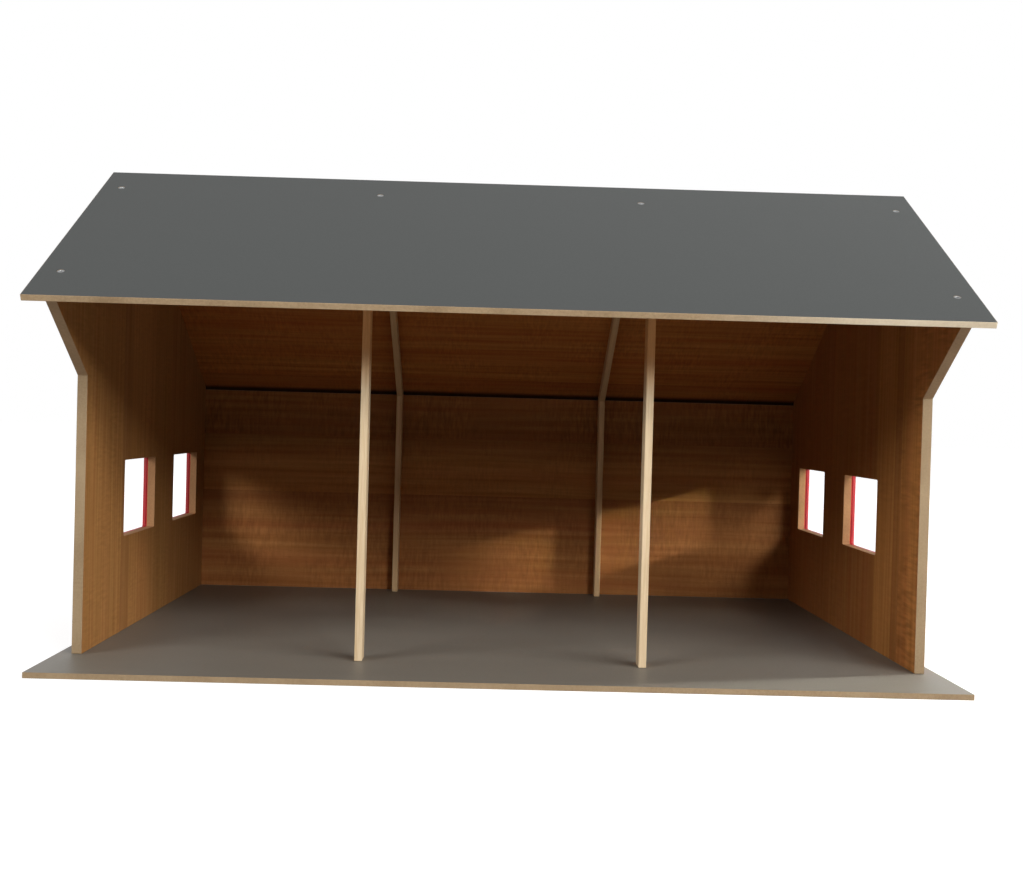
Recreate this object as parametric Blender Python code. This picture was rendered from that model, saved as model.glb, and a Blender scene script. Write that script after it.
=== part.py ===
"""Wooden toy garage: an open-fronted shed with three bays for toy vehicles.

Two side walls and a back wall stand on a base board and carry a gabled roof of two panels.
Two slim wooden frames, each of two posts and two rafters, part the bays. Each side wall has
two windows with a painted frame on its outer face. Every joint is screwed, except those
inside the frames, which are dowelled and glued, and the window frames, which are glued.

Units are metres. The front faces -Y, left is -X as seen from the front, and +Z is up.
The origin is on the ground, under the middle of the roof's outline.
"""

import math

import bmesh
import bpy
from mathutils import Matrix, Vector

# Clearance kept between neighbouring pieces, and how far a cutter runs past what it cuts.
GAP = 0.0003
OVERRUN = 0.002

# Base board, and how far it sticks out past the walls.
BASE_WIDTH = 0.800
BASE_THICKNESS = 0.005
BASE_FRONT_LIP = 0.0935
BASE_REAR_LIP = 0.012
BASE_SIDE_LIP = 0.0136

# Side walls. The front edge is upright to the kink, then flares forward to the roof.
WALL_THICKNESS = 0.009
WALL_DEPTH = 0.5335
KINK_HEIGHT = 0.251
FLARE_SETBACK = 0.0135

# Back wall, screwed onto the rear edges of the side walls.
BACK_WALL_THICKNESS = 0.006
BACK_WALL_HEIGHT = 0.250

# Roof panels. The ridge lies nearer to the front than to the back.
ROOF_PITCH = math.radians(28.2)
ROOF_THICKNESS = 0.0055
ROOF_SIDE_OVERHANG = 0.0146
FRONT_EAVE_REACH = 0.1165
RIDGE_SETBACK = 0.1597
REAR_EAVE_REACH = 0.030

# Inner frames: strips of solid wood.
MIDDLE_BAY_WIDTH = 0.250
STRIP_THICKNESS = 0.007
POST_DEPTH = 0.022
FRONT_POST_STEP = 0.0033
RAFTER_DEPTH = 0.014
STRIP_EASED_EDGE = 0.0004

# Dowels that join the strips of a frame.
DOWEL_DIAMETER = 0.003
DOWEL_LENGTH = 0.016

# Windows in the side walls, and the painted frames round them.
WINDOW_SILL_HEIGHT = 0.0947
WINDOW_HEIGHT = 0.0762
FRONT_WINDOW_SETBACK = 0.139
REAR_WINDOW_SETBACK = 0.046
WINDOW_PIER_WIDTH = 0.0905
WINDOW_FRAME_THICKNESS = 0.0035
WINDOW_FRAME_BORDER = 0.009
WINDOW_FRAME_CORNER_RADIUS = 0.0015
WINDOW_FRAME_EASED_EDGE = 0.0004

# Countersunk wood screws, all alike, with heads just below the surface.
SCREW_LENGTH = 0.015
SCREW_HEAD_DIAMETER = 0.006
SCREW_HEAD_HEIGHT = 0.0017
SCREW_HEAD_RIM = 0.0002
SCREW_SHANK_DIAMETER = 0.003
SCREW_TIP_LENGTH = 0.002
SCREW_SINK = 0.0001

# Where the screws go.
ROOF_SCREW_FROM_RIDGE = 0.0465
ROOF_SCREW_FROM_FRONT_EAVE = 0.0515
ROOF_SCREW_FROM_BACK_WALL = 0.036
BASE_SCREW_WALL_SHARES = (0.08, 0.50, 0.92)
BACK_SCREW_WALL_SHARES = (0.16, 0.50, 0.84)
BACK_SCREW_POST_SHARES = (0.30, 0.74)

# Facets of the round pieces and of the rounded corners, and the angle past which an edge of
# a round piece shows as an edge.
ROUND_SIDES = 12
CORNER_STEPS = 4
SHARP_ANGLE = math.radians(35)

# sRGB colour, roughness and metallic value of each material.
MATERIAL_LOOKS = {
    "oiled_wood_veneer": ("8F6238", 0.45, 0.0),
    "grey_laminate_roof": ("5F6160", 0.40, 0.0),
    "grey_laminate_floor": ("7A7168", 0.40, 0.0),
    "pale_solid_wood": ("DDBF9A", 0.55, 0.0),
    "red_paint": ("B8242A", 0.35, 0.0),
    "beech_dowel": ("D2AE82", 0.60, 0.0),
    "zinc_plated_steel": ("B4B4AE", 0.35, 1.0),
}

# Heights. The pieces that stand on the base board start one clearance above it.
floor_top = BASE_THICKNESS
standing_z = floor_top + GAP
back_wall_top = standing_z + BACK_WALL_HEIGHT

# Depths, counted from the front edge of the side walls and then moved so that the roof's
# outline is centred on the origin.
back_inner_depth = WALL_DEPTH + GAP
back_outer_depth = back_inner_depth + BACK_WALL_THICKNESS
roof_run = FRONT_EAVE_REACH + back_outer_depth + REAR_EAVE_REACH
wall_front_y = FRONT_EAVE_REACH - roof_run / 2
wall_rear_y = wall_front_y + WALL_DEPTH
back_inner_y = wall_front_y + back_inner_depth
back_outer_y = wall_front_y + back_outer_depth
front_eave_y = wall_front_y - FRONT_EAVE_REACH
rear_eave_y = back_outer_y + REAR_EAVE_REACH
ridge_y = wall_front_y + RIDGE_SETBACK
base_front_y = wall_front_y - BASE_FRONT_LIP
base_rear_y = back_outer_y + BASE_REAR_LIP

# Widths, as distances from the middle plane.
wall_outer_x = BASE_WIDTH / 2 - BASE_SIDE_LIP
wall_inner_x = wall_outer_x - WALL_THICKNESS
wall_middle_x = wall_outer_x - WALL_THICKNESS / 2
roof_edge_x = wall_outer_x + ROOF_SIDE_OVERHANG
strip_inner_x = MIDDLE_BAY_WIDTH / 2
strip_outer_x = strip_inner_x + STRIP_THICKNESS
strip_middle_x = strip_inner_x + STRIP_THICKNESS / 2

# The roof: its underside clears the outer top corner of the back wall.
slope = math.tan(ROOF_PITCH)
upright_gap = GAP / math.cos(ROOF_PITCH)
upright_roof_thickness = ROOF_THICKNESS / math.cos(ROOF_PITCH)
upright_rafter_depth = RAFTER_DEPTH / math.cos(ROOF_PITCH)
ridge_underside_z = back_wall_top + upright_gap + slope * (back_outer_y - ridge_y)
front_normal = Vector((0, -math.sin(ROOF_PITCH), math.cos(ROOF_PITCH)))
rear_normal = Vector((0, math.sin(ROOF_PITCH), math.cos(ROOF_PITCH)))

# The frames' posts.
front_post_front_y = wall_front_y - FRONT_POST_STEP
front_post_rear_y = front_post_front_y + POST_DEPTH
rear_post_rear_y = back_inner_y - GAP
rear_post_front_y = rear_post_rear_y - POST_DEPTH

# Windows, as (front, rear) places along the wall.
window_width = (WALL_DEPTH - FRONT_WINDOW_SETBACK - WINDOW_PIER_WIDTH - REAR_WINDOW_SETBACK) / 2
front_window_y = wall_front_y + FRONT_WINDOW_SETBACK
rear_window_y = wall_rear_y - REAR_WINDOW_SETBACK - window_width
window_low_z = standing_z + WINDOW_SILL_HEIGHT
window_high_z = window_low_z + WINDOW_HEIGHT

SIDES = {"left": -1, "right": 1}
WINDOWS = {"front": front_window_y, "rear": rear_window_y}


def roof_underside(y):
    """Height of the roof's underside at a place between the eaves."""
    return ridge_underside_z - slope * abs(y - ridge_y)


def under_roof(y):
    """Height of an edge that lies along the roof, one clearance below its underside."""
    return roof_underside(y) - upright_gap


def roof_top(y):
    """Height of the roof's outer surface."""
    return roof_underside(y) + upright_roof_thickness


def rafter_lower_edge(y):
    """Height of the rafters' lower edge."""
    return under_roof(y) - upright_rafter_depth


def clear_scene():
    """Remove every object that the file opened with."""
    for old in list(bpy.data.objects):
        bpy.data.objects.remove(old, do_unlink=True)


def linear(channel):
    """Turn one sRGB channel, from 0 to 1, into a linear value."""
    if channel <= 0.04045:
        return channel / 12.92
    return ((channel + 0.055) / 1.055) ** 2.4


def make_materials():
    """One Principled material for each finish of the real object."""
    made = {}
    for name, (colour, roughness, metallic) in MATERIAL_LOOKS.items():
        channels = [int(colour[i:i + 2], 16) / 255 for i in (0, 2, 4)]
        material = bpy.data.materials.new(name)
        material.use_nodes = True
        shader = material.node_tree.nodes["Principled BSDF"]
        shader.inputs["Base Color"].default_value = [linear(c) for c in channels] + [1.0]
        shader.inputs["Roughness"].default_value = roughness
        shader.inputs["Metallic"].default_value = metallic
        made[name] = material
    return made


def add_object(name, shape, material=None, location=(0, 0, 0)):
    """Turn a bmesh into a named object."""
    bmesh.ops.recalc_face_normals(shape, faces=shape.faces)
    mesh = bpy.data.meshes.new(name)
    shape.to_mesh(mesh)
    shape.free()
    obj = bpy.data.objects.new(name, mesh)
    obj.location = location
    if material:
        mesh.materials.append(material)
    bpy.context.scene.collection.objects.link(obj)
    return obj


def extruded(outline, low_x, high_x, origin):
    """Extrude an outline of (y, z) points along X, in coordinates counted from origin."""
    shape = bmesh.new()
    corners = [shape.verts.new(Vector((low_x, y, z)) - origin) for y, z in outline]
    face = shape.faces.new(corners)
    swept = bmesh.ops.extrude_face_region(shape, geom=[face])
    moved = [item for item in swept["geom"] if isinstance(item, bmesh.types.BMVert)]
    bmesh.ops.translate(shape, verts=moved, vec=(high_x - low_x, 0, 0))
    return shape


def add_board(name, outline, low_x, high_x, material):
    """A flat piece cut along an outline of (y, z) points; its first point is the origin."""
    origin = Vector((low_x, outline[0][0], outline[0][1]))
    shape = extruded(outline, low_x, high_x, origin)
    return add_object(name, shape, material, origin)


def ease_edges(obj, width):
    """Take the sharpness off the edges with one small chamfer."""
    bevel = obj.modifiers.new("eased edges", "BEVEL")
    bevel.width = width
    bevel.segments = 1


def cut(obj, cutter):
    """Take a cutter's volume out of a piece."""
    boolean = obj.modifiers.new("cut by " + cutter.name, "BOOLEAN")
    boolean.operation = "DIFFERENCE"
    boolean.solver = "EXACT"
    boolean.object = cutter


def mark_cutter(obj):
    """A cutter shows as a wire cage and isn't part of the model."""
    obj.hide_render = True
    obj.display_type = "WIRE"
    return obj


def turned(profile):
    """Spin a profile of (radius, height) points, which starts and ends on the axis."""
    shape = bmesh.new()
    points = [shape.verts.new((radius, 0, height)) for radius, height in profile]
    edges = [shape.edges.new(pair) for pair in zip(points, points[1:])]
    bmesh.ops.spin(
        shape, geom=points + edges, axis=(0, 0, 1), cent=(0, 0, 0),
        angle=math.tau, steps=ROUND_SIDES, use_merge=True, use_duplicate=False,
    )
    bmesh.ops.remove_doubles(shape, verts=shape.verts, dist=GAP / 100)
    return shape


def facing(direction):
    """The turn that points a shape's own +Z along a direction."""
    return Vector(direction).to_track_quat("Z", "Y")


def add_copies(mesh, rows):
    """Put one object with the same mesh at each (point, outward direction) of each row."""
    for name, places in rows.items():
        for number, (point, direction) in enumerate(places, start=1):
            obj = bpy.data.objects.new(f"{name}_{number}", mesh)
            obj.location = point
            obj.rotation_euler = facing(direction).to_euler()
            bpy.context.scene.collection.objects.link(obj)


def drill(name, profile, rows, pieces):
    """Cut a turned hole at each place of each row, out of whichever pieces it runs into."""
    group = bmesh.new()
    for point, direction in [place for places in rows.values() for place in places]:
        single = turned(profile)
        single.transform(Matrix.Translation(point) @ facing(direction).to_matrix().to_4x4())
        copied = bpy.data.meshes.new("copy")
        single.to_mesh(copied)
        single.free()
        group.from_mesh(copied)
        bpy.data.meshes.remove(copied)
    holes = mark_cutter(add_object(name, group))
    for piece in pieces:
        cut(piece, holes)


def screw_profile():
    """Outline of a countersunk screw whose surface lies at height zero."""
    head = SCREW_HEAD_DIAMETER / 2
    shank = SCREW_SHANK_DIAMETER / 2
    top = -SCREW_SINK
    return [
        (0, top),
        (head, top),
        (head, top - SCREW_HEAD_RIM),
        (shank, top - SCREW_HEAD_HEIGHT),
        (shank, top - SCREW_LENGTH + SCREW_TIP_LENGTH),
        (0, top - SCREW_LENGTH),
    ]


def screw_hole_profile():
    """The countersunk hole for a screw, one clearance larger all round."""
    head = SCREW_HEAD_DIAMETER / 2 + GAP
    shank = SCREW_SHANK_DIAMETER / 2 + GAP
    top = -SCREW_SINK
    bottom = top - SCREW_LENGTH - GAP
    return [
        (0, OVERRUN),
        (head, OVERRUN),
        (head, top - SCREW_HEAD_RIM),
        (shank, top - SCREW_HEAD_HEIGHT),
        (shank, bottom),
        (0, bottom),
    ]


def dowel_profile(clearance):
    """Outline of a dowel, or with a clearance of its bore, centred on height zero."""
    radius = DOWEL_DIAMETER / 2 + clearance
    end = DOWEL_LENGTH / 2 + clearance
    return [(0, end), (radius, end), (radius, -end), (0, -end)]


def turned_mesh(name, profile, material):
    """A smooth round mesh that several objects share."""
    shape = turned(profile)
    bmesh.ops.recalc_face_normals(shape, faces=shape.faces)
    mesh = bpy.data.meshes.new(name)
    shape.to_mesh(mesh)
    shape.free()
    mesh.shade_smooth()
    mesh.set_sharp_from_angle(angle=SHARP_ANGLE)
    mesh.materials.append(material)
    return mesh


def rectangle(low_y, high_y, low_z, high_z):
    """Four (y, z) corners."""
    return [(low_y, low_z), (high_y, low_z), (high_y, high_z), (low_y, high_z)]


def rounded_rectangle(low_y, high_y, low_z, high_z, radius):
    """A rectangle of (y, z) points whose corners are arcs."""
    centres = rectangle(low_y + radius, high_y - radius, low_z + radius, high_z - radius)
    outline = []
    for quarter, (y, z) in enumerate(centres, start=2):
        for step in range(CORNER_STEPS + 1):
            angle = (quarter + step / CORNER_STEPS) * math.pi / 2
            outline.append((y + radius * math.cos(angle), z + radius * math.sin(angle)))
    return outline


def make_base(materials):
    """The base board, with its laminated face up."""
    outline = rectangle(base_front_y, base_rear_y, 0, BASE_THICKNESS)
    return add_board("base_board", outline, -BASE_WIDTH / 2, BASE_WIDTH / 2,
                     materials["grey_laminate_floor"])


def make_side_wall(side, materials):
    """A side wall: upright front edge, flare under the eave, and the gable above."""
    flare_tip_y = front_eave_y + FLARE_SETBACK
    outline = [
        (wall_front_y, standing_z),
        (wall_rear_y, standing_z),
        (wall_rear_y, under_roof(wall_rear_y)),
        (ridge_y, under_roof(ridge_y)),
        (flare_tip_y, under_roof(flare_tip_y)),
        (wall_front_y, floor_top + KINK_HEIGHT),
    ]
    low_x, high_x = sorted((SIDES[side] * wall_inner_x, SIDES[side] * wall_outer_x))
    return add_board("side_wall_" + side, outline, low_x, high_x,
                     materials["oiled_wood_veneer"])


def make_windows(side, wall, materials):
    """Cut a side wall's windows and frame them on the outer face."""
    sign = SIDES[side]
    inner_x = sign * (wall_inner_x - OVERRUN)
    seat_x = sign * (wall_outer_x + GAP)
    face_x = seat_x + sign * WINDOW_FRAME_THICKNESS
    past_x = face_x + sign * OVERRUN
    border = WINDOW_FRAME_BORDER
    for place, start_y in WINDOWS.items():
        label = side + "_" + place
        end_y = start_y + window_width
        hole = rectangle(start_y, end_y, window_low_z, window_high_z)
        opening = mark_cutter(add_board("cutter_window_" + label, hole, inner_x, past_x, None))
        cut(wall, opening)
        outline = rounded_rectangle(start_y - border, end_y + border, window_low_z - border,
                                    window_high_z + border, WINDOW_FRAME_CORNER_RADIUS)
        low_x, high_x = sorted((seat_x, face_x))
        frame = add_board("window_frame_" + label, outline, low_x, high_x,
                          materials["red_paint"])
        cut(frame, opening)
        ease_edges(frame, WINDOW_FRAME_EASED_EDGE)


def make_back_wall(materials):
    """The back wall, which covers the rear edges of the side walls."""
    outline = rectangle(back_inner_y, back_outer_y, standing_z, back_wall_top)
    return add_board("back_wall", outline, -wall_outer_x, wall_outer_x,
                     materials["oiled_wood_veneer"])


def make_roof_panel(name, eave_y, materials):
    """A roof panel from the ridge to one eave, square at the eave and mitred at the ridge."""
    outwards = math.copysign(1, eave_y - ridge_y)
    mitre_y = ridge_y + outwards * GAP / 2
    cut_back = outwards * ROOF_THICKNESS * math.sin(ROOF_PITCH)
    outline = [
        (mitre_y, roof_underside(mitre_y)),
        (eave_y - cut_back, roof_underside(eave_y - cut_back)),
        (eave_y, roof_top(eave_y)),
        (mitre_y, roof_top(mitre_y)),
    ]
    return add_board(name, outline, -roof_edge_x, roof_edge_x,
                     materials["grey_laminate_roof"])


def make_frame(side, materials):
    """An inner frame: a front post, two rafters that meet at the ridge, and a rear post."""
    low_x, high_x = sorted((SIDES[side] * strip_inner_x, SIDES[side] * strip_outer_x))
    front_end_y = front_post_rear_y + GAP
    front_top_y = ridge_y - GAP / 2
    rear_top_y = ridge_y + GAP / 2
    outlines = {
        "front_post": [
            (front_post_front_y, standing_z),
            (front_post_rear_y, standing_z),
            (front_post_rear_y, under_roof(front_post_rear_y)),
            (front_post_front_y, under_roof(front_post_front_y)),
        ],
        "front_rafter": [
            (front_end_y, rafter_lower_edge(front_end_y)),
            (front_top_y, rafter_lower_edge(front_top_y)),
            (front_top_y, under_roof(front_top_y)),
            (front_end_y, under_roof(front_end_y)),
        ],
        "rear_rafter": [
            (rear_top_y, rafter_lower_edge(rear_top_y)),
            (rear_post_rear_y, rafter_lower_edge(rear_post_rear_y)),
            (rear_post_rear_y, under_roof(rear_post_rear_y)),
            (rear_top_y, under_roof(rear_top_y)),
        ],
        "rear_post": [
            (rear_post_front_y, standing_z),
            (rear_post_rear_y, standing_z),
            (rear_post_rear_y, rafter_lower_edge(rear_post_rear_y) - upright_gap),
            (rear_post_front_y, rafter_lower_edge(rear_post_front_y) - upright_gap),
        ],
    }
    strips = []
    for role, outline in outlines.items():
        strip = add_board(role + "_" + side, outline, low_x, high_x,
                          materials["pale_solid_wood"])
        ease_edges(strip, STRIP_EASED_EDGE)
        strips.append(strip)
    return strips


def dowel_rows():
    """The joints of each frame: post to rafter, rafter to rafter, and rafter to post."""
    middle = upright_rafter_depth / 2
    front_joint_y = front_post_rear_y + GAP / 2
    rear_joint_y = (rear_post_front_y + rear_post_rear_y) / 2
    rear_joint_z = rafter_lower_edge(rear_joint_y) - upright_gap / 2
    rows = {}
    for side, sign in SIDES.items():
        x = sign * strip_middle_x
        rows["frame_dowel_" + side] = [
            ((x, front_joint_y, under_roof(front_joint_y) - middle), (0, 1, 0)),
            ((x, ridge_y, under_roof(ridge_y) - middle), (0, 1, 0)),
            ((x, rear_joint_y, rear_joint_z), rear_normal),
        ]
    return rows


def roof_screw_rows():
    """Screws from above, through the roof panels into the side walls and the rafters."""
    run = math.cos(ROOF_PITCH)
    front_low_y = front_eave_y + ROOF_SCREW_FROM_FRONT_EAVE * run
    front_high_y = ridge_y - ROOF_SCREW_FROM_RIDGE * run
    rear_high_y = ridge_y + ROOF_SCREW_FROM_RIDGE * run
    rear_low_y = back_inner_y - ROOF_SCREW_FROM_BACK_WALL
    wall_xs = [sign * wall_middle_x for sign in SIDES.values()]
    all_xs = wall_xs + [sign * strip_middle_x for sign in SIDES.values()]
    front = [(x, front_low_y) for x in wall_xs] + [(x, front_high_y) for x in all_xs]
    rear = [(x, y) for y in (rear_high_y, rear_low_y) for x in all_xs]
    return {
        "roof_screw_front": [((x, y, roof_top(y)), front_normal) for x, y in front],
        "roof_screw_rear": [((x, y, roof_top(y)), rear_normal) for x, y in rear],
    }


def base_screw_rows():
    """Screws from below, through the base board into the side walls and the posts."""
    down = (0, 0, -1)
    rows = {}
    for side, sign in SIDES.items():
        rows["base_screw_wall_" + side] = [
            ((sign * wall_middle_x, wall_front_y + share * WALL_DEPTH, 0), down)
            for share in BASE_SCREW_WALL_SHARES
        ]
    post_middles = {
        "front_post": (front_post_front_y + front_post_rear_y) / 2,
        "rear_post": (rear_post_front_y + rear_post_rear_y) / 2,
    }
    for role, y in post_middles.items():
        rows["base_screw_" + role] = [
            ((sign * strip_middle_x, y, 0), down) for sign in SIDES.values()
        ]
    return rows


def back_screw_rows():
    """Screws from behind, through the back wall into the side walls and the rear posts."""
    def row(xs, shares):
        return [((x, back_outer_y, standing_z + share * BACK_WALL_HEIGHT), (0, 1, 0))
                for x in xs for share in shares]

    rows = {}
    for side, sign in SIDES.items():
        rows["back_screw_wall_" + side] = row([sign * wall_middle_x], BACK_SCREW_WALL_SHARES)
    strip_xs = [sign * strip_middle_x for sign in SIDES.values()]
    rows["back_screw_rear_post"] = row(strip_xs, BACK_SCREW_POST_SHARES)
    return rows


def gather(name):
    """Parent every piece to one empty, so that the garage moves as a whole."""
    holder = bpy.data.objects.new(name, None)
    bpy.context.scene.collection.objects.link(holder)
    for obj in bpy.context.scene.collection.objects:
        if obj is not holder:
            obj.parent = holder


def main():
    clear_scene()
    materials = make_materials()
    walls = {side: make_side_wall(side, materials) for side in SIDES}
    for side, wall in walls.items():
        make_windows(side, wall, materials)
    strips = [strip for side in SIDES for strip in make_frame(side, materials)]
    boards = [
        make_base(materials),
        make_back_wall(materials),
        make_roof_panel("roof_panel_front", front_eave_y, materials),
        make_roof_panel("roof_panel_rear", rear_eave_y, materials),
        *walls.values(),
    ]
    dowels = dowel_rows()
    add_copies(turned_mesh("dowel", dowel_profile(0), materials["beech_dowel"]), dowels)
    drill("cutter_dowel_bores", dowel_profile(GAP), dowels, strips)
    screws = {**roof_screw_rows(), **base_screw_rows(), **back_screw_rows()}
    add_copies(turned_mesh("screw", screw_profile(), materials["zinc_plated_steel"]), screws)
    drill("cutter_screw_holes", screw_hole_profile(), screws, boards + strips)
    gather("toy_garage")


main()
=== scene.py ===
import math

import bpy
import numpy as np
from mathutils import Matrix, Vector
from mathutils.geometry import delaunay_2d_cdt


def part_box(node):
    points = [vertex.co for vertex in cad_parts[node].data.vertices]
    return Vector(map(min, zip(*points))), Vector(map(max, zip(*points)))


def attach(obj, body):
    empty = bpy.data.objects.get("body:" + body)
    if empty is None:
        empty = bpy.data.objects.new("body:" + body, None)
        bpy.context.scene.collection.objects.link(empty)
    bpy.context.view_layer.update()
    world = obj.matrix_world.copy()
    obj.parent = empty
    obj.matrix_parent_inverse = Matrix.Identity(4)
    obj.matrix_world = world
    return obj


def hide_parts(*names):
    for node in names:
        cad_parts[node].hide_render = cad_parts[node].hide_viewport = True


# Wooden toy garage: the looks. The boards with their laminate, veneer and bare edges, the painted
# window frames and the screws are made here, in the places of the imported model's. Posts, rafters
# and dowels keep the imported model's shapes and get their wood here. Metres, front to -Y, Z up.

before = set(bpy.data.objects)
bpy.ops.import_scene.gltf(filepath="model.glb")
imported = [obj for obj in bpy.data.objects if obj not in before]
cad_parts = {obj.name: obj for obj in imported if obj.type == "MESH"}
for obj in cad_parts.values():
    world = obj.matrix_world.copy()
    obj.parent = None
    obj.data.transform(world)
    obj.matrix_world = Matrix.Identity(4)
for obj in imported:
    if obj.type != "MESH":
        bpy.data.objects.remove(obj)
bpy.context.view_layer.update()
print("frame loaded:", len(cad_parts), "nodes")

mm = 0.001

# what the boards share with the construction
garage = {
    "roofPitch": 28.2,           # degrees
    "roofThickness": 5.5 * mm,
    "cornerRadius": 0.5 * mm,    # sanded corners of the boards
    "boardEase": 0.25 * mm,      # edges broken with sandpaper
    "easeSteps": 2,              # steps of the quarter round along an edge
    "cornerSteps": 3,            # and round a corner
}
pitch = math.radians(garage["roofPitch"])
upslope = Vector((0, math.cos(pitch), math.sin(pitch)))
downslope = Vector((0, math.cos(pitch), -math.sin(pitch)))
frontRoofNormal = Vector((0, -math.sin(pitch), math.cos(pitch)))
rearRoofNormal = Vector((0, math.sin(pitch), math.cos(pitch)))
X, Y, Z = Vector((1, 0, 0)), Vector((0, 1, 0)), Vector((0, 0, 1))
quarter = math.pi / 2

# how an object's coordinates turn so that X runs along the grain and Y across it
grainTurns = {
    "upright": (0, quarter, 0),            # grain along Z, Y across it
    "level": (-quarter, 0, 0),             # grain along X, Z across it
    "rearSlope": (pitch, 0, 0),            # grain along X, the rear roof's slope across it
    "frontSlope": (-pitch, 0, 0),          # the same on the front roof
    "frontRafter": (-pitch, 0, -quarter),  # grain along the front roof's slope
    "rearRafter": (pitch, 0, -quarter),    # and along the rear roof's
    "through": (0, 0, -quarter),           # grain along Y
}


def linearColour(hexCode):
    # sRGB hex to linear, with alpha 1
    srgb = np.array([int(hexCode[i:i + 2], 16) / 255 for i in (1, 3, 5)])
    linear = np.where(srgb <= 0.04045, srgb / 12.92, ((srgb + 0.055) / 1.055) ** 2.4)
    return (*linear, 1.0)


def addNode(tree, kind, inputs=None, **settings):
    # adds one shader node; inputs maps a socket's name or number to a value or to a linked socket.
    # A noise with the scale 0.5 / size has blotches of about that size.
    made = tree.nodes.new(kind)
    for name, value in settings.items():
        setattr(made, name, value)
    for socket, value in (inputs or {}).items():
        if isinstance(value, bpy.types.NodeSocket):
            tree.links.new(value, made.inputs[socket])
        else:
            made.inputs[socket].default_value = value
    return made


def newMaterial(name):
    # an empty material with its tree and its Principled shader
    material = bpy.data.materials.new(name)
    material.use_nodes = True
    tree = material.node_tree
    return material, tree, tree.nodes["Principled BSDF"]


def toneWithPaintedShading(tree, look, tone, place):
    # a tone of a finish. A finish with painted shading changes over to its own tone there, which
    # paints light or shade onto the finish:
    # the share is the product of ramps, each from 0 to 1 between two places along an axis
    plain = linearColour(look[tone])
    if "zone" not in look:
        return plain
    axes = addNode(tree, "ShaderNodeSeparateXYZ", {0: place})
    share = 1.0
    for axis, start, end in look["zone"]["ramps"]:
        ramp = addNode(tree, "ShaderNodeMapRange", {
            "Value": axes.outputs[axis], "From Min": start, "From Max": end})
        share = addNode(tree, "ShaderNodeMath", {0: ramp.outputs[0], 1: share},
                        operation="MULTIPLY").outputs[0]
    return addNode(tree, "ShaderNodeMix", {
        "Factor": share, 6: plain, 7: linearColour(look["zone"][tone])},
        data_type="RGBA").outputs[2]


# Oiled hardwood veneer on a thin board: sliced leaves laid side by side, oiled and rubbed down.
# The eye gets soft streaks and bands along the grain, a step in tone where two leaves meet,
# patches of ripple figure across the grain and a low satin sheen.
veneer = {
    "streakWidth": 9 * mm,       # early and late wood
    "streakLength": 320 * mm,
    "bandWidth": 30 * mm,        # broad bands of colour
    "bandLength": 800 * mm,
    "poreWidth": 0.8 * mm,       # real pores are 0.2 mm wide, drawn coarser so that they show
    "poreLength": 12 * mm,
    "patchSize": 90 * mm,        # of the patches that show ripple figure
    "wander": 4 * mm,            # how far a streak drifts sideways
    "wanderScale": (4, 9, 40),   # per metre: along, across and into the board
    "inwards": 260,              # the same for the figure, into the board
    "noiseScale": 1.6,
    "leafShift": (3.1, 1.7, 2.3),
    "pore": "#6A4019",
    "roughness": (0.58, 0.66),   # of the light and of the dark wood
    "specular": 0.12,
    "relief": 0.03 * mm,
}
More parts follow.
